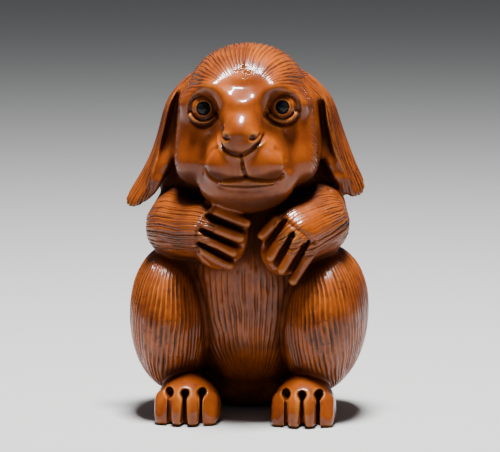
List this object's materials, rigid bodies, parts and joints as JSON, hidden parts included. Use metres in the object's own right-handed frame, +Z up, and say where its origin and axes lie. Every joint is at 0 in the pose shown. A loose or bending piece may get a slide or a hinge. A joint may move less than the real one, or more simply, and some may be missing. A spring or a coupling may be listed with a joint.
{
  "type": "netsuke",
  "caption": "Carved boxwood netsuke of a seated lop-eared puppy holding its paws under its chin, with a cord passage in its back and black bead eyes.",
  "frame": {"origin": "centre of the bounding box's underside, on the surface that the figure sits on", "axes": "+Z up through the figure, -Y towards the way the face looks, +X towards the figure's own left"},
  "size_m": [0.0334, 0.028, 0.05],
  "materials": {
    "boxwood": "stained boxwood under a glossy clear coat, with dark stain in the cuts and paler rubbed edges",
    "bead": "polished black horn"
  },
  "bodies": {
    "root": {"figure": "boxwood", "right_eye_bead": "bead", "left_eye_bead": "bead"}
  },
  "joints": []
}
